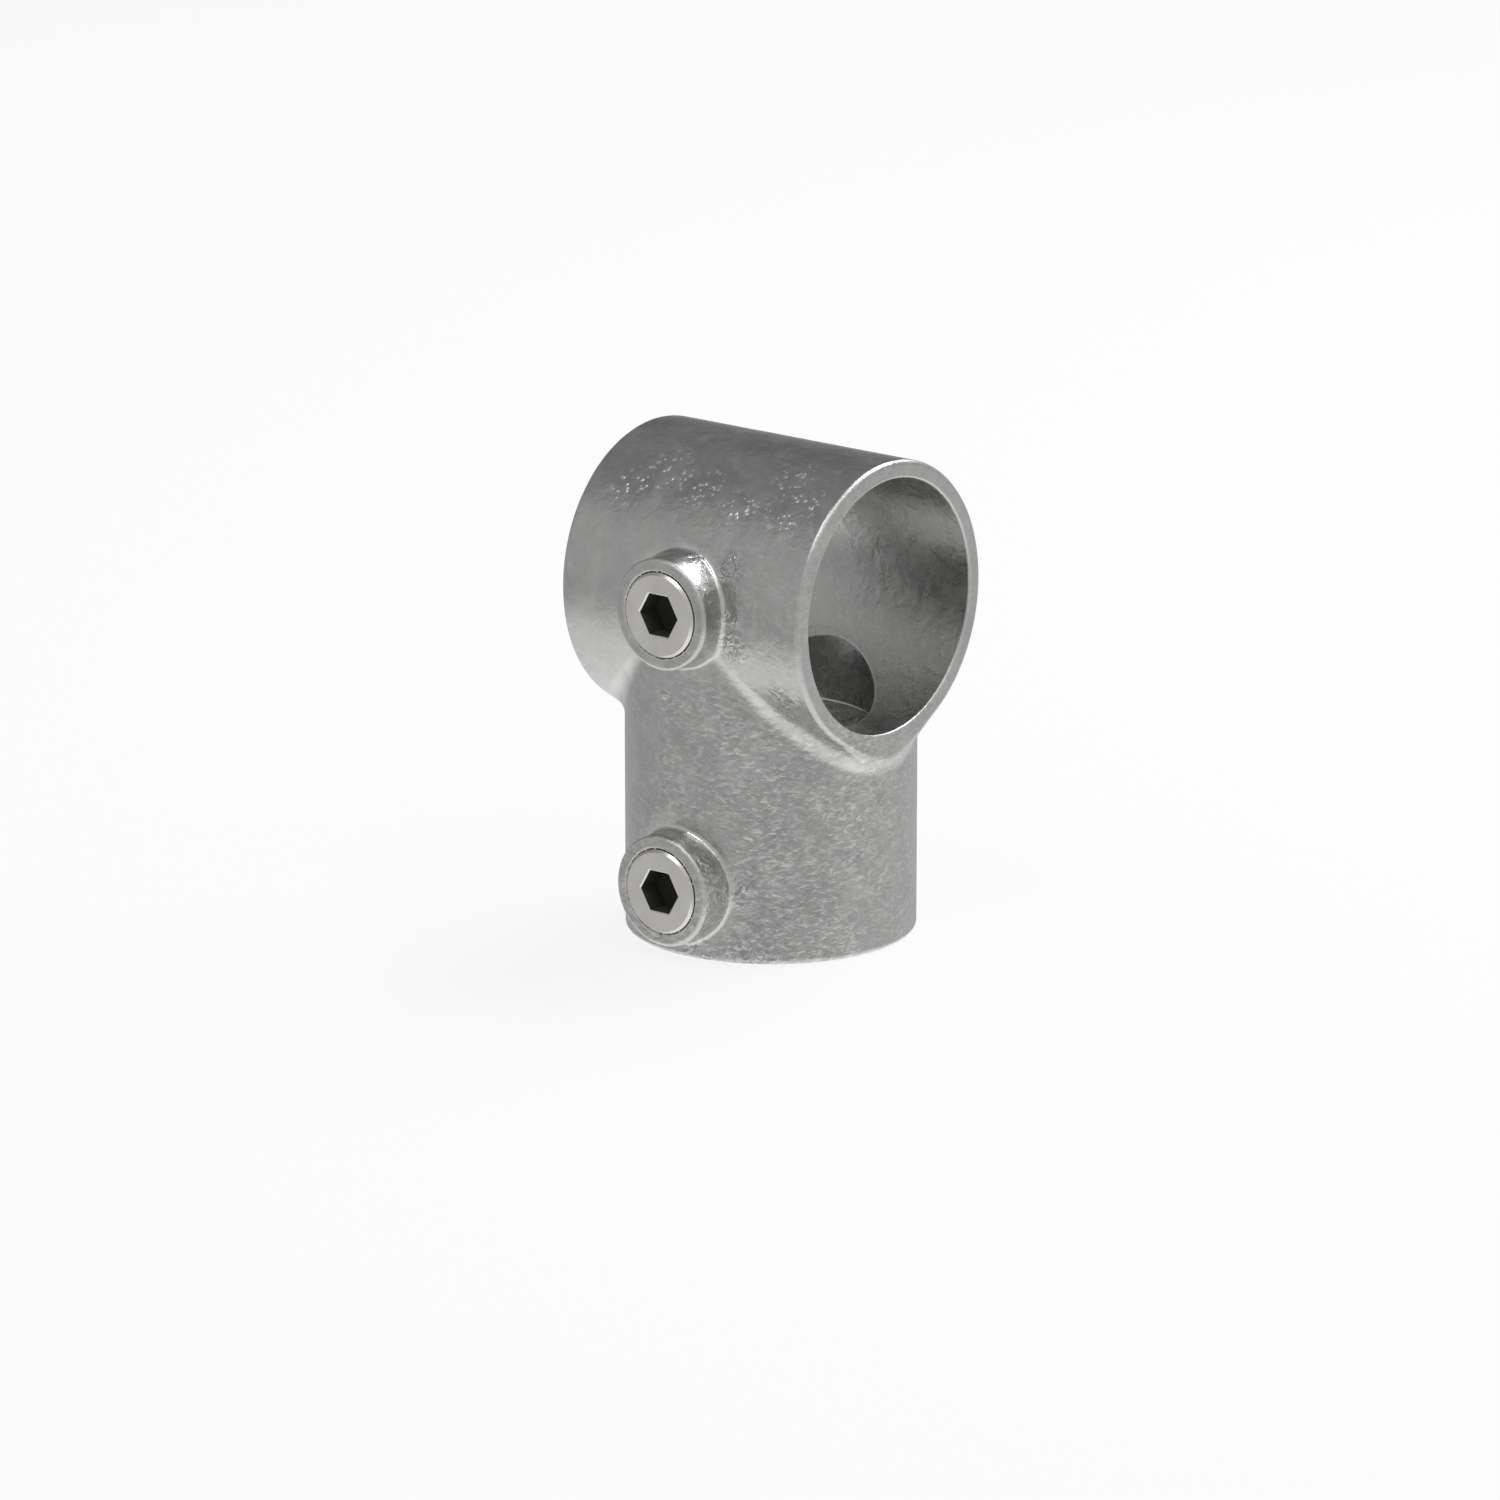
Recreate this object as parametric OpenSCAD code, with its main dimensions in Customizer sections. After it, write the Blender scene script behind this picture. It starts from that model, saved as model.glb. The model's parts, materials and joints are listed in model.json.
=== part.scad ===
// Short tee for scaffold-size tube: one galvanised casting with two set screws.
// The rail tube passes through the sleeve along X, and the post tube comes up into
// the socket from below. The origin is where the two tube axes cross, +Z is up, and
// the screws are on the -Y side.

/* [Tubes] */
// Outside diameter of the rail and post tubes
tube_d = 48.3; // [42.4:0.1:52]
// Room between a tube and its socket, on the radius
tube_room = 0.75; // [0.5:0.05:1]

/* [Casting] */
// Wall thickness of the sleeve and the post socket
wall = 3.6; // [3:0.1:5]
// Length of the rail sleeve
sleeve_len = 58.5; // [58:0.5:80]
// Drop from the rail axis to the foot of the post socket
post_drop = 68.75; // [66:0.25:90]
// Depth at which the ledge stops the post tube, below the rail axis
ledge_drop = 28.5; // [28:0.5:32]
// Diameter of the cored passage between the two sockets
passage_d = 40; // [20:1:42]
// Radius on the outer edge of each socket mouth
rim_r = 1; // [0.4:0.1:1.4]
// Chamfer on the inner edge of each socket mouth
mouth_chamfer = 0.5; // [0.2:0.1:0.8]
// Radius of the blend where the sleeve and the post socket cross
saddle_r = 4; // [2:0.5:6]

/* [Screw bosses] */
// Diameter of a boss at its face
boss_d = 22; // [21:0.5:24]
// How far a boss face stands out from the socket wall
boss_stand = 5.5; // [4:0.25:7]
// Draft angle of a boss side
boss_draft = 1.5; // [0:0.5:4]
// Radius on the edge of a boss face
boss_edge_r = 0.8; // [0.3:0.1:1.2]
// Radius of the blend at the root of a boss
root_r = 1.3; // [0.8:0.1:2]
// Height of the rail screw above the rail axis
rail_screw_z = 0.5; // [-1:0.25:1]
// Drop of the post screw below the rail axis
post_screw_drop = 54.5; // [52:0.25:54.5]

/* [Set screws] */
// Diameter of a set screw over its thread
screw_d = 16.66; // [14:0.01:17]
// Room between a screw and its hole, on the radius
thread_room = 0.05; // [0.02:0.01:0.08]
// How far a screw stands proud of its boss when its point is level with the bore
screw_proud = 0.5; // [0:0.1:1]
// Key size of the hexagon socket
key_af = 8; // [6:1:10]
// Depth of the hexagon socket
key_depth = 5; // [3:0.5:5]
// Bevel round the mouth of the hexagon socket
key_bevel = 0.25; // [0.1:0.05:0.4]
// Chamfer on the outer edge of a screw
screw_chamfer = 0.4; // [0.2:0.1:0.6]

/* [Hidden] */
$fn = 128;

bore_r = tube_d / 2 + tube_room;
outer_r = bore_r + wall;
half_len = sleeve_len / 2;
boss_r = boss_d / 2;
boss_face = outer_r + boss_stand;
screw_r = screw_d / 2;
hole_r = screw_r + thread_room;
hole_chamfer = 0.4;
post_screw_z = -post_screw_drop;

// The point of a screw sits just behind the bore wall, so that a tube can slide in
point_gap = 0.1;
screw_len = boss_face + screw_proud - bore_r - point_gap;
// The point is a sharp-rimmed cup that bites into the tube
cup_r = 5.2;
cup_rim_r = 5.9;
cup_depth = 1.5;
point_taper = 1.8;
// The hexagon socket, over its corners, ends in the cone that its pilot drill left
key_r = key_af / 2 / cos(30);
drill_cone = 1.2;
drill_r = key_af / 2;

// Cutters run past the faces that they cut by this much
over = 1;
// A blend sinks this far into the surfaces that it joins
sink = 0.05;
// Depth below the skin of the hidden inner corner of a blend
root_depth = 1.6;
edge_steps = 6;
blend_steps = 6;
saddle_stations = 26;
root_stations = 48;
// The saddle blend starts under the rail boss, at this angle from the front
saddle_start = 12;

// Points of a quarter round about a centre, from angle a0 to angle a1
function arc(centre, r, a0, a1, steps) =
    [for (i = [0 : steps]) let (a = a0 + (a1 - a0) * i / steps)
        centre + r * [cos(a), sin(a)]];

function unit(v) = v / norm(v);

// Points on a ball's surface from direction u to direction v, both unit vectors
function ball_arc(centre, r, u, v, steps) =
    let (whole = acos(u * v))
    [for (i = [0 : steps]) let (a = whole * i / steps)
        centre + r * (sin(whole - a) * u + sin(a) * v) / sin(whole)];

// Triangles that join consecutive rings of k points each
function ring_sides(rings, k, closed) =
    [for (i = [0 : rings - (closed ? 1 : 2)], j = [0 : k - 1])
        let (a = i * k + j, b = i * k + (j + 1) % k)
        let (c = (i + 1) % rings * k + j, d = (i + 1) % rings * k + (j + 1) % k)
        each [[a, b, d], [a, d, c]]];

// Fans that close the first and the last ring, from their last point
function ring_ends(rings, k) =
    let (last = (rings - 1) * k)
    [for (j = [0 : k - 3]) each [[k - 1, j + 1, j], [last + k - 1, last + j, last + j + 1]]];

// Round bar along Z with rounded rims, from z0 to z1
module rounded_bar(r, z0, z1, edge0, edge1) {
    rotate_extrude() polygon(concat(
        [[0, z0]],
        edge0 > 0 ? arc([r - edge0, z0 + edge0], edge0, -90, 0, edge_steps) : [[r, z0]],
        edge1 > 0 ? arc([r - edge1, z1 - edge1], edge1, 0, 90, edge_steps) : [[r, z1]],
        [[0, z1]]));
}

// Lays a bar or a cutter along X, with the start of its turn on top, away from the openings
module along_x() {
    rotate([0, -90, 0]) children();
}

// Turns +Z towards the front, where the screws are
module towards_front(z) {
    translate([0, 0, z]) rotate([90, 0, 0]) children();
}

// One side of the blend in the corner between the sleeve and the post socket: what
// a ball leaves that rolls along the corner from the front, under the sleeve, to the back
module saddle_side() {
    track = outer_r + saddle_r - sink;
    k = blend_steps + 2;
    points = [for (i = [0 : saddle_stations - 1])
        let (a = saddle_start + (180 - 2 * saddle_start) * i / (saddle_stations - 1))
        let (ball = track * [sin(a), -cos(a), -sin(a)])
        let (to_sleeve = unit([0, -ball.y, -ball.z]))
        let (to_post = unit([-ball.x, -ball.y, 0]))
        each concat(
            ball_arc(ball, saddle_r, to_sleeve, to_post, blend_steps),
            [(outer_r - root_depth) * [sin(a), -cos(a), -sin(a)]])];
    intersection() {
        polyhedron(points, concat(ring_sides(saddle_stations, k, false),
            ring_ends(saddle_stations, k)));
        // The blend runs out on the rounded rim of the sleeve
        translate([0, -outer_r, -post_drop])
            cube([half_len - rim_r / 3, 2 * outer_r, post_drop]);
    }
}

// Distance from the screw plane at which a surface that stands r from its axis lies,
// on the sleeve above the rail axis, on the outer of sleeve and socket below it
function skin_y(x, z, r, on_sleeve) =
    let (off = !on_sleeve ? abs(x) : z > 0 ? z : min(abs(x), abs(z)))
    sqrt(r * r - off * off);

function boss_r_at(y) = boss_r + (boss_face - y) * tan(boss_draft);

// Blend round the root of a boss: what a ball leaves that rolls round it
module root_blend(z, on_sleeve) {
    k = blend_steps + 2;
    track = outer_r + root_r - sink;
    points = [for (i = [0 : root_stations - 1])
        let (a = 360 * i / root_stations)
        let (c = [cos(a), sin(a)])
        let (near = boss_r_at(outer_r) + root_r - sink)
        let (y0 = skin_y(near * c.x, z + near * c.y, track, on_sleeve))
        let (far = boss_r_at(y0) + root_r - sink)
        let (bx = far * c.x, bz = z + far * c.y)
        let (by = skin_y(bx, bz, track, on_sleeve))
        let (ball = [bx, -by, bz])
        let (to_boss = [-c.x, 0, -c.y])
        let (sleeve_side = on_sleeve && (bz > 0 || abs(bz) < abs(bx)))
        let (to_skin = unit(sleeve_side ? [0, by, -bz] : [-bx, by, 0]))
        let (inner = far - root_r - root_depth)
        each concat(
            ball_arc(ball, root_r, to_boss, to_skin, blend_steps),
            [[inner * c.x, -by + root_r + root_depth, z + inner * c.y]])];
    polyhedron(points, ring_sides(root_stations, k, true));
}

// Boss with a drafted side and a rounded edge on its face
module boss(z, on_sleeve) {
    root_y = bore_r - 2 * over;
    round_r = boss_r - boss_edge_r;
    towards_front(z) rotate_extrude() polygon(concat(
        [[0, root_y], [boss_r_at(root_y), root_y]],
        arc([round_r, boss_face - boss_edge_r], boss_edge_r, 0, 90, edge_steps),
        [[0, boss_face]]));
    root_blend(z, on_sleeve);
}

// Cutter for a socket along Z, chamfered at the mouths that are open
module socket_cutter(z0, z1, open0, open1) {
    flare = mouth_chamfer + over;
    rotate_extrude() polygon(concat(
        open0
            ? [[0, z0 - over], [bore_r + flare, z0 - over], [bore_r, z0 + mouth_chamfer]]
            : [[0, z0], [bore_r, z0]],
        open1
            ? [[bore_r, z1 - mouth_chamfer], [bore_r + flare, z1 + over], [0, z1 + over]]
            : [[bore_r, z1], [0, z1]]));
}

// Cutter for a tapped hole through a boss and the wall behind it
module screw_hole_cutter(z) {
    root_y = bore_r - outer_r / 4;
    towards_front(z) rotate_extrude() polygon([
        [0, root_y],
        [hole_r, root_y],
        [hole_r, boss_face - hole_chamfer],
        [hole_r + hole_chamfer + over, boss_face + over],
        [0, boss_face + over]]);
}

module tee_body() {
    color([0.63, 0.64, 0.63])
    difference() {
        union() {
            along_x() rounded_bar(outer_r, -half_len, half_len, rim_r, rim_r);
            rounded_bar(outer_r, -post_drop, 0, rim_r, 0);
            saddle_side();
            mirror([1, 0, 0]) saddle_side();
            boss(rail_screw_z, true);
            boss(post_screw_z, false);
        }
        along_x() socket_cutter(-half_len, half_len, true, true);
        socket_cutter(-post_drop, -ledge_drop, true, false);
        translate([0, 0, -ledge_drop - over]) cylinder(h = ledge_drop, d = passage_d);
        screw_hole_cutter(rail_screw_z);
        screw_hole_cutter(post_screw_z);
    }
}

// Headless screw, face outwards: hexagon socket in the face, cup at the point
module set_screw(z) {
    face_y = boss_face + screw_proud;
    point_y = face_y - screw_len;
    color([0.71, 0.70, 0.68])
    towards_front(z) difference() {
        rotate_extrude() polygon([
            [0, point_y + cup_depth],
            [cup_r, point_y],
            [cup_rim_r, point_y],
            [screw_r, point_y + point_taper],
            [screw_r, face_y - screw_chamfer],
            [screw_r - screw_chamfer, face_y],
            [0, face_y]]);
        translate([0, 0, face_y - key_depth])
            cylinder(h = key_depth + over, r = key_r, $fn = 6);
        translate([0, 0, face_y - key_bevel])
            cylinder(h = 2 * key_bevel, r1 = key_r, r2 = key_r + 2 * key_bevel, $fn = 6);
        translate([0, 0, face_y - key_depth - drill_cone])
            cylinder(h = drill_cone, r1 = 0, r2 = drill_r);
    }
}

module rail_set_screw() {
    set_screw(rail_screw_z);
}

module post_set_screw() {
    set_screw(post_screw_z);
}

tee_body();
rail_set_screw();
post_set_screw();
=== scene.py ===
"""Looks of a galvanised tube tee: the cast body, its two set screws and the studio."""

import json
import math

import bmesh
import bpy
import numpy as np
from bpy.props import FloatProperty, FloatVectorProperty, IntProperty, PointerProperty
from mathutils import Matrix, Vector, noise


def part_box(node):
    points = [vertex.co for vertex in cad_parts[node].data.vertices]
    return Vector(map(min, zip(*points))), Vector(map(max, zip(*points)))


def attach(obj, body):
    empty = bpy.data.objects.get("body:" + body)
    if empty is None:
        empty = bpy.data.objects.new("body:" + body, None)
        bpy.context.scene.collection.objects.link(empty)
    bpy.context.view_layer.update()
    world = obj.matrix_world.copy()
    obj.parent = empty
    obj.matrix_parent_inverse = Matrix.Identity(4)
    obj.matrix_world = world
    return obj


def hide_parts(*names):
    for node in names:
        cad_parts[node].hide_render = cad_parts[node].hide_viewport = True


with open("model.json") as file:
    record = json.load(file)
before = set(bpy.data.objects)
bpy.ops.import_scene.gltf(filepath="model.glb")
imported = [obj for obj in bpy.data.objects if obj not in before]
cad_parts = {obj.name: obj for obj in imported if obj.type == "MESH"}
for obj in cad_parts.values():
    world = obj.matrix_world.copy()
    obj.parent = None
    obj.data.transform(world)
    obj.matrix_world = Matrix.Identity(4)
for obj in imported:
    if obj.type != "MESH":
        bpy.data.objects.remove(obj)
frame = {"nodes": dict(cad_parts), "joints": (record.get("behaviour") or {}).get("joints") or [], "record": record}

bl_info = {
    "name": "Tube Tee Fitting",
    "version": (1, 0, 0),
    "blender": (4, 5, 0),
    "location": "View3D > Sidebar > Tube Tee",
    "description": "Builds a galvanised tee for round tube, with its set screws and a studio",
    "category": "Mesh",
}

MM = 0.001
FULL_TURN = 2 * math.pi

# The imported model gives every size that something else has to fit
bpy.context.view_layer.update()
CASTING_LOW, CASTING_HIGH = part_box("tee_body")
MOUNTS = {mount["name"]: mount for mount in frame["record"]["mounts"]}
BORE_R = MOUNTS["rail_socket"]["dims"]["r_mm"] * MM
HALF_LEN = CASTING_HIGH.x
OUTER_R = CASTING_HIGH.y
BOSS_FACE = -CASTING_LOW.y
FOOT_Z = CASTING_LOW.z
SCREWS = {"rail_screw": "rail_set_screw", "post_screw": "post_set_screw"}
PITCH = frame["joints"][0]["range_m"][1]


def screw_box(node):
    """Height of a screw's axis, its radius, and how far its point and its face stand out."""
    low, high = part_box(node)
    return (low.z + high.z) / 2, (high.x - low.x) / 2, -high.y, -low.y


SCREW_R = screw_box("rail_set_screw")[1]


def length(name, description, value, low, high):
    """A length, written here in millimetres and kept in metres."""
    return FloatProperty(name=name, description=description, default=value * MM, min=low * MM,
                         max=high * MM, precision=5, unit="LENGTH", subtype="DISTANCE")


def colour(name, description, value):
    return FloatVectorProperty(name=name, description=description, default=value,
                               size=3, min=0, max=1, subtype="COLOR")


def level(name, description, value):
    return FloatProperty(name=name, description=description, default=value, min=0, max=20)


class TeeCastingSettings(bpy.types.PropertyGroup):
    """Sizes and finish of the cast body."""

    rim_r: length("Rim", "Radius on the outer edge of a socket mouth", 1.0, 0.4, 1.4)
    mouth_r: length("Mouth edge", "Radius on the inner edge of a mouth", 0.5, 0.2, 0.8)
    saddle_r: length("Saddle blend", "Radius where sleeve and socket cross", 5.2, 2, 6)
    boss_r: length("Boss", "Radius of a screw boss at its face", 11, 10.5, 12)
    boss_edge_r: length("Boss edge", "Radius on the edge of a boss face", 0.8, 0.3, 1.2)
    root_r: length("Boss root", "Radius at the root of a boss", 0.9, 0.6, 2)
    boss_draft: FloatProperty(name="Draft", description="Draft angle of a boss side", min=0,
                              default=math.radians(1.5), max=math.radians(4), subtype="ANGLE")
    passage_r: length("Passage", "Radius of the opening between the sockets", 20, 10, 21)
    edge_reach: length("Edge reach", "How near a hole's edge points are drawn to it", 0.17, 0, 0.3)
    hole_room: length("Thread room", "Room between a screw and its hole", 0.01, 0, 0.1)
    ledge_r: length("Ledge corner", "Radius in the corner of the inner ledge", 1.0, 0.4, 2)
    voxel: length("Mesh cell", "Cell size of the first, even mesh", 0.36, 0.3, 1)
    faces: IntProperty(name="Triangles", description="Most triangles in the finished casting",
                       default=190000, min=20000, max=198000)
    relief: length("Relief", "Depth of the dips in the zinc", 0.07, 0, 0.3)
    grain: length("Grain", "Depth of the grain in the zinc", 0.13, 0, 0.3)
    zinc: colour("Zinc", "Colour of the zinc coat", (0.47, 0.475, 0.465))
    # Painted on edges as wear and highlight, in corners as a light band, on pimples as glints
    worn_and_sheen_zinc: colour("Bright zinc", "Colour of rubbed edges and pimples", (0.86, 0.865, 0.85))
    dull_zinc: colour("Dull zinc", "Colour of pits and stains", (0.16, 0.17, 0.165))


class TeeScrewSettings(bpy.types.PropertyGroup):
    """Sizes and finish of the two set screws."""

    key_af: length("Key size", "Size across the flats of the hexagon socket", 8, 6, 10)
    key_depth: length("Key depth", "Depth of the hexagon socket", 5, 3, 5)
    key_bevel: length("Key bevel", "Bevel round the mouth of the socket", 0.25, 0.05, 0.5)
    drill_cone: length("Drill cone", "Depth of the cone below the socket", 1.2, 0, 2)
    chamfer: length("Chamfer", "Chamfer on the outer edge of a screw", 0.5, 0.2, 0.6)
    run_out: length("Run-out", "Length over which the thread dies out at the face", 0.9, 0.1, 2)
    thread_depth: length("Thread depth", "Depth of the thread", 0.856, 0.3, 1)
    taper: length("Point taper", "Length of the taper at the point", 1.8, 0.5, 3)
    cup_r: length("Cup", "Radius of the hollow in the point", 5.2, 2, 6)
    cup_rim_r: length("Cup rim", "Outer radius of the rim of the point", 5.9, 3, 7)
    cup_depth: length("Cup depth", "Depth of the hollow in the point", 1.5, 0.5, 2)
    round_points: IntProperty(name="Points round", default=144, min=24, max=240,
                              description="Points round a screw, a multiple of six")
    rings_a_pitch: IntProperty(name="Rings a pitch", description="Rings of points in one pitch",
                               default=14, min=6, max=24)
    steel: colour("Plated steel", "Colour of the plated screw", (0.67, 0.655, 0.625))
    shade: colour("Socket shade", "Colour inside the hexagon socket", (0.04, 0.043, 0.036))


class TeeStageSettings(bpy.types.PropertyGroup):
    """Floor, lights and camera."""

    azimuth: FloatProperty(name="Azimuth", description="Turn of the camera about the upright",
                           default=math.radians(38.906), subtype="ANGLE")
    elevation: FloatProperty(name="Elevation", description="How far the camera looks down",
                             default=math.radians(15.983), subtype="ANGLE")
    camera_place: FloatVectorProperty(name="Camera", description="Place of the camera", size=3,
                                      default=(0.932575, -1.162053, 0.393035), unit="LENGTH",
                                      subtype="TRANSLATION")
    lens: FloatProperty(name="Lens", description="Focal length in millimetres, on a 36 mm sensor",
                        default=191.08, min=20, max=400)
    floor_size: length("Floor", "Width of the floor", 14000, 2000, 40000)
    floor: colour("Floor colour", "Colour of the floor", (0.72, 0.72, 0.72))
    light_side: level("Light side", "Brightness of the room at the height of the object", 0.53)
    underside: level("Underside", "Brightness of what metal shows straight below it", 1.12)
    lift: level("Lift", "Brightness added above the height of the object", 0.07)
    half_light: level("Half light", "Brightness of the upper half that holds the dark side", 0.31)
    dark_side: level("Dark side", "Brightness of the room where it is darkest", 0.18)
    behind: level("Behind", "Brightness added behind the object, at its height", 0.16)
    key_glow: level("Key light", "Brightness of the softbox behind, where 1 is white", 6.0)
    front_glow: level("Front light", "Brightness of the softbox over the screws", 3.0)
    side_glow: level("Side light", "Brightness of the softbox at the side", 1.2)


class TeeSettings(bpy.types.PropertyGroup):
    """Everything that a user would change."""

    casting: PointerProperty(type=TeeCastingSettings)
    screws: PointerProperty(type=TeeScrewSettings)
    stage: PointerProperty(type=TeeStageSettings)


class Value:
    """A number that changes over a surface. Sums on it add Math nodes."""

    def __init__(self, finish, socket):
        self.finish = finish
        self.socket = socket

    def math(self, operation, *values):
        return self.finish.math(operation, self, *values)

    def __add__(self, other):
        return self.math("ADD", other)

    def __radd__(self, other):
        return self.finish.math("ADD", other, self)

    def __sub__(self, other):
        return self.math("SUBTRACT", other)

    def __rsub__(self, other):
        return self.finish.math("SUBTRACT", other, self)

    def __mul__(self, other):
        return self.math("MULTIPLY", other)

    def __rmul__(self, other):
        return self.finish.math("MULTIPLY", other, self)

    def __truediv__(self, other):
        return self.math("DIVIDE", other)

    def step(self, low, high):
        """0 below low and 1 above high, with a smooth rise between; high may be the smaller."""
        node = self.finish.node("ShaderNodeMapRange", {"interpolation_type": "SMOOTHSTEP"},
                                {"Value": self, "From Min": low, "From Max": high})
        return Value(self.finish, node.outputs["Result"])

    def at_most(self, other):
        return self.math("MINIMUM", other)

    def at_least(self, other):
        return self.math("MAXIMUM", other)


class Finish:
    """The nodes of a material, on the object's own coordinates, or of the world."""

    def __init__(self, owner, shader="Principled BSDF", place="Object"):
        self.owner = owner
        owner.use_nodes = True
        self.tree = owner.node_tree
        self.shader = self.tree.nodes[shader]
        self.place = self.node("ShaderNodeTexCoord").outputs[place]

    def node(self, kind, settings=None, inputs=None):
        """Adds a node of this type: its settings first, then the values or links of its sockets."""
        node = self.tree.nodes.new(kind)
        for name, value in (settings or {}).items():
            setattr(node, name, value)
        for name, value in (inputs or {}).items():
            self.feed(node.inputs[name], value)
        return node

    def feed(self, socket, value):
        if isinstance(value, Value):
            value = value.socket
        if isinstance(value, bpy.types.NodeSocket):
            self.tree.links.new(value, socket)
        else:
            socket.default_value = value

    def math(self, operation, *values):
        node = self.node("ShaderNodeMath", {"operation": operation}, dict(enumerate(values)))
        return Value(self, node.outputs[0])

    def stretched(self, scale):
        """The object's coordinates in cells of this many millimetres along x, y and z."""
        cells = [1 / (size * MM) for size in scale]
        return self.node("ShaderNodeMapping", {"vector_type": "POINT"},
                         {"Vector": self.place, "Scale": cells}).outputs[0]

    def noise(self, size, detail=2.0, roughness=0.5, distortion=0.0):
        """Noise about 0.5, whose cells are this many millimetres, or three sizes, across."""
        scale = size if isinstance(size, tuple) else (size, size, size)
        node = self.node("ShaderNodeTexNoise", {"noise_dimensions": "3D"},
                         {"Vector": self.stretched(scale), "Scale": 1.0, "Detail": detail,
                          "Roughness": roughness, "Distortion": distortion})
        return Value(self, node.outputs[0])

    def cells(self, size):
        """Distance to the nearest of the points strewn this many millimetres apart."""
        node = self.node("ShaderNodeTexVoronoi", {"feature": "F1"},
                         {"Vector": self.stretched((size, size, size)), "Scale": 1.0})
        return Value(self, node.outputs["Distance"])

    def along(self, direction):
        """How far along a direction the coordinates are."""
        node = self.node("ShaderNodeVectorMath", {"operation": "DOT_PRODUCT"},
                         {0: self.place, 1: direction})
        return Value(self, node.outputs["Value"])

    def near(self, centre, radius):
        """1 round a spot given in millimetres, falling to 0 at the radius."""
        node = self.node("ShaderNodeVectorMath", {"operation": "DISTANCE"},
                         {0: self.place, 1: [value * MM for value in centre]})
        return Value(self, node.outputs["Value"]).step(radius * MM, SPOT_CORE * radius * MM)

    def spots(self, patches):
        """1 inside any of these patches, each x, y, z and radius in millimetres."""
        return sum((self.near(patch[:3], patch[3]) for patch in patches), 0.0).at_most(1)

    def thread(self, z):
        """Relief of the thread in the tapped hole at this height, and 0 everywhere else."""
        place = self.node("ShaderNodeSeparateXYZ", None, {0: self.place}).outputs
        across, along, up = (Value(self, place[axis]) for axis in "XYZ")
        up = up - z
        away = (across * across + up * up).math("SQRT")
        in_hole = away.step(SCREW_R + 0.1 * MM, SCREW_R + 0.05 * MM)
        in_hole = in_hole * along.step(-BOSS_FACE, 0.2 * MM - BOSS_FACE)
        in_hole = in_hole * along.step(-0.9 * BORE_R, -0.92 * BORE_R)
        turns = along / -PITCH - up.math("ARCTAN2", across) / FULL_TURN
        return in_hole * (0.5 + 0.5 * (turns * FULL_TURN).math("SINE"))

    def attribute(self, name):
        node = self.node("ShaderNodeAttribute", {"attribute_name": name})
        return Value(self, node.outputs["Fac"])

    def mix(self, factor, first, second):
        """One colour turning into another."""
        sides = [(*side, 1) if isinstance(side, tuple) else side for side in (first, second)]
        node = self.node("ShaderNodeMix", {"data_type": "RGBA"},
                         {0: factor, 6: sides[0], 7: sides[1]})
        return node.outputs[2]

    def bump(self, height, distance):
        """Relief, where a height of 1 is this many metres."""
        return self.node("ShaderNodeBump", None, {"Height": height, "Strength": 1.0,
                                                  "Distance": distance}).outputs[0]

    def rays(self):
        """1 for what the camera sees at first hand, and 1 for what metal, glass and lamps see."""
        path = self.node("ShaderNodeLightPath").outputs
        camera, glossy, clear, shadow = (Value(self, path[f"Is {kind} Ray"]) for kind in
                                         ("Camera", "Glossy", "Transmission", "Shadow"))
        return camera, (glossy + clear + shadow).at_most(1)

    def surface(self, sockets):
        """Sets or links the shader's sockets, and gives the finished material or world."""
        for name, value in sockets.items():
            self.feed(self.shader.inputs[name], value)
        return self.owner


def new_finish(name):
    return Finish(bpy.data.materials.new(name))


def shade(colour, factor=1.0):
    """A colour made this many times as bright."""
    return tuple(factor * value for value in colour)


# Share of a spot's radius over which it is full
SPOT_CORE = 0.3
# Clusters of pimples on the sleeve, painted bright as glints: x, y, z and radius in millimetres
PIMPLE_PATCHES = ((-13, -15.5, 24, 8), (-3, -17.5, 22.5, 7), (8, -20, 20.3, 6), (15, -12, 25.8, 7),
                  (19, -19, 21.3, 7), (-19, -20, 20.3, 6), (24, -17, 23, 4))
# Rough scabs, where dross set in the zinc
SCAB_PATCHES = ((-2.7, -28.4, -16.9, 2.8), (13.3, -28, -5.1, 5), (11.6, -26.6, 10.2, 4.5),
                (13.1, -28.5, 1.3, 3), (22.6, -24.7, -14.2, 4.5), (14, -24.8, -67.7, 7),
                (4, -28.2, 12, 4), (12.9, -25.4, -54.3, 4), (9, -31, 4.5, 3),
                (9, -31, -48, 3.5), (4, -28, -68, 6))
# The side of the socket where the grain is strongest, and how far out it grows to its full depth
GRAIN_SIDE = (0.74, -0.67, 0)
GRAIN_FROM, GRAIN_FULL = 8 * MM, 24 * MM
# The sleeve is less grained than the socket; the grain changes over this band of heights
SLEEVE_END, SOCKET_START = -8 * MM, -24 * MM
# Sizes of the zinc's patterns in millimetres
CLOUD, PATCH, FINE, CRUMB = 9.0, 3.2, 0.28, 1.4
GRAIN = (1.6, 1.6, 0.95)
GRAIN_CLOUD = 11.0
SCAB_CLOUD = 3.5
PIMPLE, PIMPLE_CLOUD = 1.12, 2.2
# Height of each pattern, against the grain's depth
THREAD_HEIGHT, PATCH_HEIGHT, GRAIN_HEIGHT = 4.0, 0.9, 1.35
FINE_HEIGHT, PIMPLE_HEIGHT, SCAB_HEIGHT = 0.12, 0.6, 3.0
# How much bright colour is painted on: wear and a highlight on edges, a light band in corners, glints on pimples
EDGE_WEAR_AND_SHEEN, PAINTED_CORNER_SHEEN, PAINTED_PIMPLE_GLINT = 0.2, 0.36, 0.5
# Sizes of the patterns on the screws in millimetres, and the depth of their relief
STEEL_CLOUD, STEEL_GRAIN, SHADE_GRAIN = 4.0, 0.3, 0.5
STEEL_RELIEF = 0.02 * MM


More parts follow.
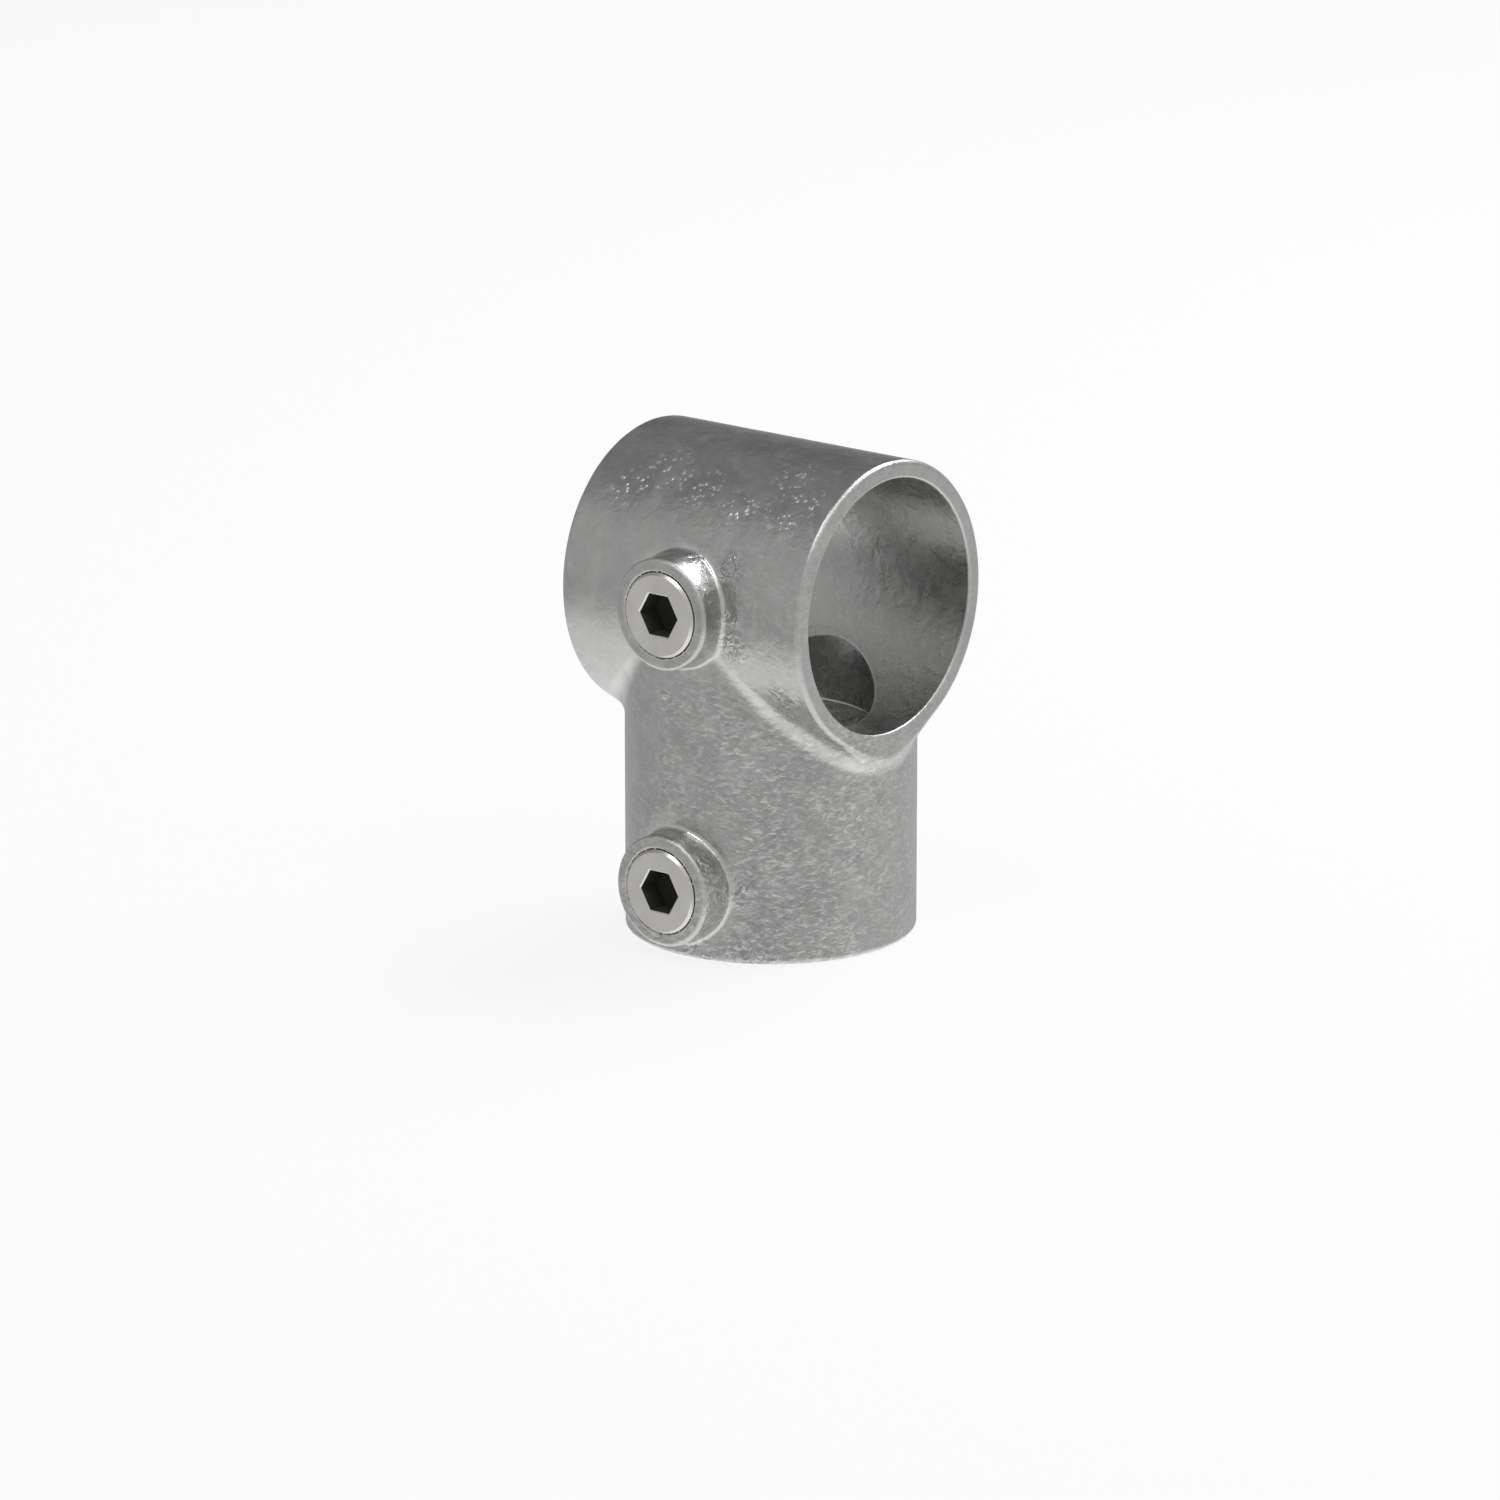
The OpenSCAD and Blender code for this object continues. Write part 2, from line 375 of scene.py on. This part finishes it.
def galvanised_zinc(settings):
    """Hot-dip zinc: cloudy and grained, with pimples and scabs, worn edges, and painted highlights on edges, in
    corners and on pimples.
    """
    finish = new_finish("galvanised_zinc")
    cloud = finish.noise(CLOUD, 3, 0.6)
    patch = finish.noise(PATCH, 3, 0.6, 0.5)
    grain = finish.noise(GRAIN, 2, 0.5, 0.6)
    fine = finish.noise(FINE, 2, 0.6)
    crumbs = finish.noise(CRUMB, 1, 0.5, 0.9)
    # Convex edges: real wear, and a painted highlight along them
    edge_wear_sheen = finish.attribute("edge").step(0.2, 0.7)
    # Concave corners, the saddle and the boss roots: a painted light band, broken by the cloud
    corner_light_band = finish.attribute("corner").step(0.05, 0.75) * (0.3 + 0.7 * cloud.step(0.35, 0.6))
    grained = 0.4 + 0.6 * finish.along((0, 0, 1)).step(SLEEVE_END, SOCKET_START)
    grained = grained * (0.55 + 0.45 * finish.noise(GRAIN_CLOUD, 1).step(0.35, 0.6))
    grained = grained * (1 - 0.75 * corner_light_band)
    grained = grained * (0.45 + 0.55 * finish.along(GRAIN_SIDE).step(GRAIN_FROM, GRAIN_FULL))
    size = 0.2 + 0.36 * finish.noise(PIMPLE_CLOUD, 1).step(0.34, 0.6)
    pimple = (size - finish.cells(PIMPLE)).step(0, 0.36) * finish.spots(PIMPLE_PATCHES)
    scab = finish.spots(SCAB_PATCHES) * finish.noise(SCAB_CLOUD, 2).step(0.34, 0.54)
    crack = scab * (crumbs - 0.5).math("ABSOLUTE").step(0.055, 0.01)

    mottle = (cloud - 0.5) * 0.45 + (patch - 0.5) * 0.45
    flecks = (grain - 0.5) * grained * 1.15
    glints = grain.step(0.52, 0.7) * grained * 0.35
    dross = crumbs.step(0.55, 0.7) * scab * 0.3
    tone = (0.5 + (mottle + flecks + glints + dross - 0.07)).at_least(0).at_most(1)
    coat = finish.mix(tone, shade(settings.zinc, 0.7), shade(settings.zinc, 1.3))
    # Painted light: a highlight and wear on edges, a light band in corners, glints on pimples
    wear_and_sheen = edge_wear_sheen * EDGE_WEAR_AND_SHEEN + corner_light_band * PAINTED_CORNER_SHEEN + pimple * PAINTED_PIMPLE_GLINT
    coat_worn_and_lit = finish.mix(wear_and_sheen.at_most(1), coat, shade(settings.worn_and_sheen_zinc))
    base = finish.mix((crack * 0.6).at_most(1), coat_worn_and_lit, shade(settings.dull_zinc))

    rough = 0.28 + (cloud - 0.5) * 0.2 + (patch - 0.5) * 0.2
    rough = rough + crack * 0.2 + pimple * 0.08 + edge_wear_sheen * 0.12
    threads = sum((finish.thread(screw_box(node)[0]) for node in SCREWS.values()), 0.0)
    height = threads * THREAD_HEIGHT + patch * PATCH_HEIGHT + grain * grained * GRAIN_HEIGHT
    height = height + fine * FINE_HEIGHT + pimple * PIMPLE_HEIGHT + crumbs * scab * SCAB_HEIGHT
    return finish.surface({"Base Color": base, "Metallic": 1.0,
                           "Roughness": rough.at_least(0.18).at_most(0.7),
                           "Normal": finish.bump(height, settings.grain)})


def plated_steel(settings):
    """Smooth plated steel, with a faint cloudiness and a fine grain."""
    finish = new_finish("plated_steel")
    cloud = finish.noise(STEEL_CLOUD, 3, 0.6)
    grain = finish.noise(STEEL_GRAIN, 3, 0.6)
    tone = (0.5 + (cloud - 0.5) * 1.1 + (grain - 0.5) * 0.5).at_least(0).at_most(1)
    base = finish.mix(tone, shade(settings.steel, 0.9), shade(settings.steel, 1.08))
    rough = 0.3 + (cloud - 0.5) * 0.15 + (grain - 0.5) * 0.1
    return finish.surface({"Base Color": base, "Metallic": 1.0, "Roughness": rough,
                           "Normal": finish.bump(cloud * 0.4 + grain * 0.2, STEEL_RELIEF)})


def socket_shade(settings):
    """Painted shade inside a hexagon socket: a dark, dull finish for the deep recess."""
    finish = new_finish("socket_shade")
    grain = finish.noise(SHADE_GRAIN, 3, 0.6)
    base = finish.mix(grain, shade(settings.shade, 0.7), shade(settings.shade, 1.4))
    return finish.surface({"Base Color": base, "Metallic": 0.0, "Roughness": 0.8 + grain * 0.1,
                           "Specular IOR Level": 0.1, "Normal": finish.bump(grain, STEEL_RELIEF)})


# Points closer than this are one
TINY = 0.001 * MM
# Keeps a division from zero where a length or a square is zero
NO_LENGTH = 1e-9
NO_SQUARE = 1e-12
LEAST_SPREAD = 1e-6
# How deep a boss and its hole reach into the bore, as a share of the bore's radius
BOSS_END, HOLE_END = 0.8, 0.75
# Times that the points are moved onto the skin, before the mesh is thinned and after
FIRST_ROUNDS, LAST_ROUNDS = 4, 2
# Sizes of the two kinds of dips, and how much each adds to their mean depth
DIP, DIP_SHARE = 9 * MM, 0.35
SMALL_DIP, SMALL_DIP_SHARE = 2.6 * MM, 0.2
# The shallowest dip, as a share of the deepest
LEAST_DIP = 0.05
# Width of the ring round a screw that stays flat
FLAT_RING = 0.3 * MM
# Where the mesh departs more than this from the skin, as a cosine, the mesh gives the shading
CRISP = 0.93
# Turn in a millimetre of a corner that is marked in full
CORNER_TURN = 0.13
# How often the marks in the corners are evened out with the points beside them
SOFT_ROUNDS = 16


class Skin:
    """How far points are from a body's surface, below zero inside it, and which way that grows."""

    def __init__(self, distance, direction):
        self.distance = distance
        self.direction = direction

    def __neg__(self):
        return Skin(-self.distance, -self.direction)

    def pick(self, first, other):
        """This skin where first is true, and the other elsewhere."""
        return Skin(np.where(first, self.distance, other.distance),
                    np.where(first[:, None], self.direction, other.direction))

    def joined(self, other, radius):
        """Both bodies as one, with a ball of this radius rolled along the corner between them."""
        lean = (self.direction * other.direction).sum(1)
        spread = np.maximum(1 - lean ** 2, LEAST_SPREAD)
        reach, other_reach = radius - self.distance, radius - other.distance
        share = (reach - other_reach * lean) / spread
        other_share = (other_reach - reach * lean) / spread
        to_ball = share[:, None] * self.direction + other_share[:, None] * other.direction
        away = np.maximum(np.linalg.norm(to_ball, axis=1), NO_LENGTH)
        blend = Skin(radius - away, to_ball / away[:, None])
        nearest = self.pick(self.distance < other.distance, other)
        return blend.pick((share > 0) & (other_share > 0), nearest)

    def within(self, other, radius):
        """What the two bodies share, with the edge between them rounded."""
        over = np.maximum(self.distance + radius, 0)
        other_over = np.maximum(other.distance + radius, 0)
        away = np.maximum(np.hypot(over, other_over), NO_LENGTH)
        push = over[:, None] * self.direction + other_over[:, None] * other.direction
        edge = Skin(away - radius, push / away[:, None])
        farthest = self.pick(self.distance > other.distance, other)
        return edge.pick((over > 0) & (other_over > 0), farthest)


def bar(points, axis, radius, centre=(0, 0, 0), slope=0.0):
    """Skin of an endless round bar; with a slope, its radius shrinks along the axis."""
    offset = points - np.array(centre)
    along = offset[:, axis].copy()
    offset[:, axis] = 0
    away = np.maximum(np.linalg.norm(offset, axis=1), NO_LENGTH)
    direction = offset / away[:, None]
    direction[:, axis] = slope
    scale = 1 / math.hypot(1, slope)
    return Skin((away - radius + slope * along) * scale, direction * scale)


def flat(points, axis, side, place):
    """Skin of all that lies on one side of a plane; side 1 keeps what is below place."""
    direction = np.zeros_like(points)
    direction[:, axis] = side
    return Skin(side * (points[:, axis] - place), direction)


def casting_skin(points, settings):
    """Skin of the whole casting: sleeve, socket, saddle and bosses, less the bores."""
    sleeve = bar(points, 0, OUTER_R)
    crossed = sleeve.joined(bar(points, 2, OUTER_R), settings.saddle_r)
    body = crossed.pick(points[:, 2] < 0, sleeve)
    body = body.within(flat(points, 0, 1, HALF_LEN), settings.rim_r)
    body = body.within(flat(points, 0, -1, -HALF_LEN), settings.rim_r)
    body = body.within(flat(points, 2, -1, FOOT_Z), settings.rim_r)
    rail = bar(points, 0, BORE_R)
    ledge_z = FOOT_Z + settings.mouth_r + MOUNTS["post_socket"]["dims"]["length_mm"] * MM
    socket = bar(points, 2, BORE_R).within(flat(points, 2, 1, ledge_z), settings.ledge_r)
    passage = bar(points, 2, settings.passage_r).within(flat(points, 2, 1, 0), 0)
    bores = rail.joined(passage, settings.mouth_r).joined(socket, settings.mouth_r)
    for node in SCREWS.values():
        z = screw_box(node)[0]
        side = bar(points, 1, settings.boss_r, (0, -BOSS_FACE, z), -math.tan(settings.boss_draft))
        boss = side.within(flat(points, 1, -1, -BOSS_FACE), settings.boss_edge_r)
        boss = boss.within(flat(points, 1, 1, -BORE_R * BOSS_END), 0)
        body = body.joined(boss, settings.root_r)
        hole = bar(points, 1, SCREW_R + settings.hole_room, (0, 0, z))
        hole = hole.within(flat(points, 1, 1, -BORE_R * HOLE_END), 0)
        body = body.within(-hole, 0)
        bores = bores.pick(bores.distance < hole.distance, hole)
    return body.within(-bores, settings.mouth_r)


def get_points(mesh):
    points = np.empty(len(mesh.vertices) * 3)
    mesh.vertices.foreach_get("co", points)
    return points.reshape(-1, 3)


def set_points(mesh, points):
    mesh.vertices.foreach_set("co", points.ravel())
    mesh.update()


def settle(mesh, settings, rounds):
    """Moves a mesh's points onto the casting's skin, and those near a hole's edge onto the edge."""
    points = get_points(mesh)
    for _ in range(rounds):
        skin = casting_skin(points, settings)
        points -= skin.distance[:, None] * skin.direction
    hole_r = SCREW_R + settings.hole_room
    for node in SCREWS.values():
        out = points - (0, -BOSS_FACE, screw_box(node)[0])
        away = np.hypot(out[:, 0], out[:, 2])
        near = np.abs(away - hole_r) < settings.edge_reach
        near &= np.abs(out[:, 1]) < settings.edge_reach
        points[near, 1] = -BOSS_FACE
        for axis in (0, 2):
            points[near, axis] += out[near, axis] * (hole_r / away[near] - 1)
    set_points(mesh, points)


def apply_modifier(obj, kind, **values):
    """Adds a modifier with these values and makes its result the object's mesh."""
    modifier = obj.modifiers.new(kind.title(), kind)
    for name, value in values.items():
        setattr(modifier, name, value)
    graph = bpy.context.evaluated_depsgraph_get()
    mesh = bpy.data.meshes.new_from_object(obj.evaluated_get(graph), depsgraph=graph)
    obj.modifiers.clear()
    old, obj.data = obj.data, mesh
    bpy.data.meshes.remove(old)


def get_normals(mesh):
    normals = np.empty(len(mesh.vertices) * 3)
    mesh.vertices.foreach_get("normal", normals)
    return normals.reshape(-1, 3)


def add_relief(mesh, settings):
    """Dips of two sizes in the skin, where zinc drained and set. They only sink the surface.
    The shading is the skin's own, turned as the dips turn it, and free of the mesh's facets."""
    points, normals = get_points(mesh), get_normals(mesh)
    dips = np.array([0.5 + DIP_SHARE * noise.noise(Vector(point) / DIP)
                     + SMALL_DIP_SHARE * noise.noise(Vector(point) / SMALL_DIP)
                     for point in points])
    depth = settings.relief * np.clip(dips, LEAST_DIP, 1)
    flat_ring = np.zeros(len(points), bool)
    for node in SCREWS.values():
        away = np.hypot(points[:, 0], points[:, 2] - screw_box(node)[0]) - SCREW_R
        depth = np.where(points[:, 1] < 0, depth * np.clip(away / MM, 0, 1), depth)
        flat_ring |= (away < FLAT_RING) & (points[:, 1] < -BOSS_FACE + TINY)
    set_points(mesh, points - depth[:, None] * normals)
    smooth = casting_skin(points, settings).direction
    crisp = (smooth * normals).sum(1) < CRISP
    dipped = get_normals(mesh)
    shading = np.where(crisp[:, None], dipped, smooth + dipped - normals)
    shading[flat_ring] = (0, -1, 0)
    mesh.shade_smooth()
    lengths = np.linalg.norm(shading, axis=1)
    mesh.normals_split_custom_set_from_vertices(shading / lengths[:, None])


def write_values(mesh, name, values):
    attribute = mesh.attributes.new(name, "FLOAT", "POINT")
    attribute.data.foreach_set("value", values.astype(np.float32))


def mark_edges(mesh):
    """Writes how sharply each point's surface turns: "edge" is above zero on edges and below in
    corners, and "corner" is 1 in the broad corners and falls off softly beside them."""
    count = len(mesh.edges)
    ends = np.empty(count * 2, np.int32)
    mesh.edges.foreach_get("vertices", ends)
    first, second = ends.reshape(-1, 2).T
    points, normals = get_points(mesh), get_normals(mesh)
    gap = points[first] - points[second]
    turn = ((normals[first] - normals[second]) * gap).sum(1)
    turn /= np.maximum((gap ** 2).sum(1), NO_SQUARE)
    seen = np.maximum(np.bincount(ends, minlength=len(points)), 1)

    def gathered(to_first, to_second):
        """The mean over each point's edges of what each edge brings to its two ends."""
        total = np.bincount(first, to_first, len(points))
        return (total + np.bincount(second, to_second, len(points))) / seen

    edge = gathered(turn, turn) * MM
    corner = np.clip(-edge / CORNER_TURN, 0, 1)
    for _ in range(SOFT_ROUNDS):
        corner = 0.5 * (corner + gathered(corner[second], corner[first]))
    write_values(mesh, "edge", edge)
    write_values(mesh, "corner", corner)


def new_piece(name, mesh, body, node):
    """Links a finished mesh as the piece that stands for a CAD node."""
    piece = bpy.data.objects.new(name, mesh)
    bpy.context.scene.collection.objects.link(piece)
    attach(piece, body)
    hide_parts(node)
    return piece


class MESH_OT_tee_casting(bpy.types.Operator):
    """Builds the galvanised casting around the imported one."""

    bl_idname = "mesh.tee_casting"
    bl_label = "Tee Casting"
    bl_options = {"REGISTER", "UNDO"}

    def execute(self, context):
        settings = context.scene.tee.casting
        mesh = bpy.data.meshes.new("casting")
        shell = bmesh.new()
        shell.from_mesh(frame["nodes"]["tee_body"].data)
        bmesh.ops.remove_doubles(shell, verts=shell.verts, dist=TINY)
        shell.to_mesh(mesh)
        shell.free()
        piece = new_piece("zinc_casting", mesh, "casting", "tee_body")
        apply_modifier(piece, "REMESH", mode="VOXEL", voxel_size=settings.voxel, adaptivity=0)
        settle(piece.data, settings, FIRST_ROUNDS)
        triangles = sum(len(face.vertices) - 2 for face in piece.data.polygons)
        apply_modifier(piece, "DECIMATE", ratio=min(1, settings.faces / triangles))
        settle(piece.data, settings, LAST_ROUNDS)
        mark_edges(piece.data)
        add_relief(piece.data, settings)
        piece.data.materials.clear()
        piece.data.materials.append(galvanised_zinc(settings))
        return {"FINISHED"}


# Share of half a turn that is the thread's root, and the share that is its flank
THREAD_ROOT, THREAD_FLANK = 0.17, 0.66
# Where the thread starts to grow, as a share of its run-out
THREAD_START = 0.4
# Size of the small flat in the middle of a cone, against the cone's mouth
CONE_END = 0.02
# Width of the bevels on a screw's point
BREAK = 0.1 * MM
# How much smaller the bottom of a key socket is than its mouth
SOCKET_STEP = 0.15 * MM
# Edges that turn more than this stay sharp
SHARP = math.radians(32)


def hexagon(angle):
    """How far a hexagon's outline is from its centre, against its inner circle, corners at 0."""
    return 1 / math.cos((angle % (FULL_TURN / 6)) - FULL_TURN / 12)


def thread_ridge(turns):
    """Height of a rounded thread, from 0 at its root to 1 at its crest, so many turns along."""
    slope = abs(2 * (turns % 1) - 1)
    climb = min(max((slope - THREAD_ROOT) / THREAD_FLANK, 0), 1)
    return climb * climb * (3 - 2 * climb)


def screw_rings(settings, point, face):
    """The rings of a screw from the middle of its cup to the bottom of its socket: how far out
    each stands, and its radius by angle."""
    end = face - settings.chamfer
    count = round((end - point) / PITCH * settings.rings_a_pitch)
    key_r = settings.key_af / 2

    def circle(radius):
        return lambda angle: radius

    def thread(along):
        """Thread that starts on the point's taper and dies out at the face's chamfer."""
        widening = SCREW_R - settings.cup_rim_r
        tapered = settings.cup_rim_r + (along - point) / settings.taper * widening
        grown = min(max((end - along) / settings.run_out - THREAD_START, 0), 1)

        def radius(angle):
            groove = 1 - thread_ridge(along / PITCH - angle / FULL_TURN)
            return min(SCREW_R, tapered, SCREW_R - settings.thread_depth * (groove * grown))
        return radius

    def key(grow):
        return lambda angle: (key_r + grow) * hexagon(angle)

    yield point + settings.cup_depth, circle(CONE_END * settings.cup_r)
    yield point + settings.cup_depth * 0.02, circle(settings.cup_r * 0.985)
    yield point, circle(settings.cup_r + BREAK)
    yield point, circle(settings.cup_rim_r - BREAK)
    for step in range(count):
        along = point + BREAK + (end - point - BREAK) * step / count
        yield along, thread(along)
    yield end, circle(SCREW_R)
    yield face, circle(SCREW_R - settings.chamfer)
    yield face, key(1.4 * settings.key_bevel)
    yield face, key(1.15 * settings.key_bevel)
    yield face - 0.1 * settings.key_bevel, key(0.9 * settings.key_bevel)
    yield face - settings.key_bevel, key(0)
    yield face - settings.key_depth, key(0)
    yield face - settings.key_depth, key(-SOCKET_STEP)
    yield face - settings.key_depth - settings.drill_cone, circle(CONE_END * key_r)


class MESH_OT_tee_set_screws(bpy.types.Operator):
    """Builds the two set screws, with their threads, cups and hexagon sockets."""

    bl_idname = "mesh.tee_set_screws"
    bl_label = "Tee Set Screws"
    bl_options = {"REGISTER", "UNDO"}

    def execute(self, context):
        settings = context.scene.tee.screws
        materials = (plated_steel(settings), socket_shade(settings))
        for body, node in SCREWS.items():
            mesh = self.screw_mesh(settings, *screw_box(node))
            for material in materials:
                mesh.materials.append(material)
            new_piece("plated_" + body, mesh, body, node)
        return {"FINISHED"}

    def screw_mesh(self, settings, z, radius, point, face):
        rings = list(screw_rings(settings, point, face))
        count = settings.round_points
        screw = bmesh.new()
        start = bmesh.ops.create_circle(screw, segments=count, radius=radius)["verts"]
        edges = list(screw.edges)
        layers = [self.ordered(start)]
        for _ in rings[1:]:
            grown = bmesh.ops.extrude_edge_only(screw, edges=edges)["geom"]
            edges = [item for item in grown if isinstance(item, bmesh.types.BMEdge)]
            layers.append(self.follow(layers[-1], grown))
        for (along, reach), layer in zip(rings, layers):
            for step, vertex in enumerate(layer):
                angle = FULL_TURN * step / count
                out = reach(angle)
                vertex.co = (out * math.cos(angle), -along, z + out * math.sin(angle))
        for layer in (layers[0], layers[-1]):
            screw.faces.new(layer)
        self.put_in_order(screw)
        bmesh.ops.recalc_face_normals(screw, faces=screw.faces)
        # Faces deep in the hexagon socket take the second material, its painted shade
        shaded_from, shaded_to = settings.key_bevel - face, -point - 2 * settings.cup_depth
        key_reach = hexagon(0) * settings.key_af / 2 + BREAK
        for panel in screw.faces:
            panel.smooth = True
            middle = panel.calc_center_median()
            in_socket = math.hypot(middle.x, middle.z - z) < key_reach
            panel.material_index = int(in_socket and shaded_from < middle.y < shaded_to)
        for edge in screw.edges:
            edge.smooth = edge.calc_face_angle(0) < SHARP
        mesh = bpy.data.meshes.new("set_screw")
        screw.to_mesh(mesh)
        screw.free()
        return mesh

    def ordered(self, vertices):
        """The circle's vertices in the order of their angle."""
        return sorted(vertices, key=lambda vertex: math.atan2(vertex.co.y, vertex.co.x) % FULL_TURN)

    def put_in_order(self, screw):
        """Sorts the faces by their vertices, so that each run gives the same order."""
        screw.verts.index_update()
        count = len(screw.verts)

        def rank(panel):
            indices = [vertex.index for vertex in panel.verts]
            return min(indices) * count + max(indices)
        screw.faces.sort(key=rank)

    def follow(self, layer, grown):
        """The extruded vertex of each vertex of the layer, in the layer's order."""
        new = {item for item in grown if isinstance(item, bmesh.types.BMVert)}
        return [next(end for end in (edge.other_vert(vertex) for edge in vertex.link_edges)
                     if end in new) for vertex in layer]


WHITE = (1, 1, 1, 1)
# Share of plain white in what the camera sees of the floor, the rest is lit paper with its shadow
FLOOR_WHITE = 0.85
LIGHT_DISTANCE = 1.3
# Where the room is darkest, and where it is brighter at the object's height, as directions
DARK_SIDE = (-0.4, 0.8, 0.45)
BRIGHT_BEHIND = (0.6, 0.78, -0.15)
# Along each direction, where the room starts to change and where it has changed
HORIZON = (-0.25, 0.05)
UNDER_EDGE = (-0.26, -0.7)
HALF_LIGHT_EDGE = (0.0, 0.42)
DARK_EDGE = (0.84, 1.0)
BEHIND_EDGE = (0.35, 0.95)


def floor_paper(settings):
    """Paper that the camera sees almost white, with its shadow. Metal shows the room through it."""
    finish = new_finish("floor_paper")
    finish.surface({"Base Color": (*settings.floor, 1), "Roughness": 0.9,
                    "Specular IOR Level": 0.1})
    camera, mirror = finish.rays()
    white = finish.node("ShaderNodeEmission", None, {"Color": WHITE, "Strength": 1.0})
    clear = finish.node("ShaderNodeBsdfTransparent")
    paper = finish.node("ShaderNodeMixShader", None, {0: camera * FLOOR_WHITE,
                                                      1: finish.shader.outputs[0],
                                                      2: white.outputs[0]})
    seen = finish.node("ShaderNodeMixShader", None,
                       {0: mirror, 1: paper.outputs[0], 2: clear.outputs[0]})
    finish.feed(finish.tree.nodes["Material Output"].inputs["Surface"], seen.outputs[0])
    return finish.owner


def studio_world(settings):
    """A room for metal to show: bright below, darker above towards the dark side, and brighter
    behind the object. The camera sees it white."""
    finish = Finish(bpy.data.worlds.new("studio"), "Background", "Generated")
    up = finish.along((0, 0, 1))
    rise = up.step(*HORIZON)
    away = finish.along(DARK_SIDE)
    room = settings.light_side + settings.lift * rise
    room = room + (settings.half_light - room) * away.step(*HALF_LIGHT_EDGE) * rise
    room = room + (settings.dark_side - room) * away.step(*DARK_EDGE) * rise
    room = room + (settings.underside - settings.light_side) * up.step(*UNDER_EDGE)
    room = room + settings.behind * finish.along(BRIGHT_BEHIND).step(*BEHIND_EDGE)
    camera, _ = finish.rays()
    return finish.surface({"Color": WHITE, "Strength": room.at_least(camera)})


def soft_light(name, azimuth, elevation, size, glow):
    """A softbox that faces the object and gives this much light from each part of its face.
    Azimuth 0 is over the screws, and it grows towards +X."""
    turn, rise = math.radians(azimuth), math.radians(elevation)
    out = math.cos(rise)
    place = LIGHT_DISTANCE * Vector((math.sin(turn) * out, -math.cos(turn) * out, math.sin(rise)))
    lamp = bpy.data.lights.new(name, "AREA")
    lamp.shape = "RECTANGLE"
    lamp.size, lamp.size_y = size
    lamp.energy = glow * math.pi * lamp.size * lamp.size_y
    light = bpy.data.objects.new(name, lamp)
    light.location = place
    light.rotation_euler = place.to_track_quat("Z", "Y").to_euler()
    light.visible_camera = False
    bpy.context.scene.collection.objects.link(light)


class SCENE_OT_tee_stage(bpy.types.Operator):
    """Sets up the camera, the floor, the room and the lights."""

    bl_idname = "scene.tee_stage"
    bl_label = "Tee Stage"
    bl_options = {"REGISTER", "UNDO"}

    def execute(self, context):
        settings = context.scene.tee.stage
        scene = context.scene
        camera = bpy.data.cameras.new("camera")
        camera.lens = settings.lens
        camera.sensor_width = 36
        camera.clip_end = 100
        holder = bpy.data.objects.new("camera", camera)
        holder.location = settings.camera_place
        holder.rotation_euler = (math.pi / 2 - settings.elevation, 0, settings.azimuth)
        scene.collection.objects.link(holder)
        scene.camera = holder

        sheet = bmesh.new()
        bmesh.ops.create_grid(sheet, x_segments=1, y_segments=1, size=settings.floor_size / 2)
        bmesh.ops.translate(sheet, verts=sheet.verts, vec=(0, 0, FOOT_Z))
        mesh = bpy.data.meshes.new("floor")
        sheet.to_mesh(mesh)
        sheet.free()
        mesh.materials.append(floor_paper(settings))
        floor = bpy.data.objects.new("floor", mesh)
        scene.collection.objects.link(floor)

        scene.world = studio_world(settings)
        soft_light("key_light", azimuth=165, elevation=51, size=(0.85, 0.9), glow=settings.key_glow)
        soft_light("front_light", azimuth=0, elevation=62, size=(0.7, 0.45),
                   glow=settings.front_glow)
        soft_light("side_light", azimuth=80, elevation=58, size=(0.7, 0.7), glow=settings.side_glow)
        scene.view_settings.view_transform = "Standard"
        return {"FINISHED"}


class VIEW3D_PT_tube_tee(bpy.types.Panel):
    """The tee's settings and what builds its pieces."""

    bl_idname = "VIEW3D_PT_tube_tee"
    bl_label = "Tube Tee"
    bl_space_type = "VIEW_3D"
    bl_region_type = "UI"
    bl_category = "Tube Tee"

    def draw(self, context):
        tee = context.scene.tee
        for group, operator in ((tee.stage, SCENE_OT_tee_stage), (tee.casting, MESH_OT_tee_casting),
                                (tee.screws, MESH_OT_tee_set_screws)):
            box = self.layout.box()
            for name in group.bl_rna.properties.keys():
                if name not in {"rna_type", "name"}:
                    box.prop(group, name)
            box.operator(operator.bl_idname)


CLASSES = (TeeCastingSettings, TeeScrewSettings, TeeStageSettings, TeeSettings,
           MESH_OT_tee_casting, MESH_OT_tee_set_screws, SCENE_OT_tee_stage, VIEW3D_PT_tube_tee)


def register():
    for item in CLASSES:
        bpy.utils.register_class(item)
    bpy.types.Scene.tee = PointerProperty(type=TeeSettings)


def unregister():
    del bpy.types.Scene.tee
    for item in reversed(CLASSES):
        bpy.utils.unregister_class(item)


def main():
    register()
    bpy.ops.scene.tee_stage()
    bpy.ops.mesh.tee_casting()
    bpy.ops.mesh.tee_set_screws()


if __name__ == "__main__":
    main()
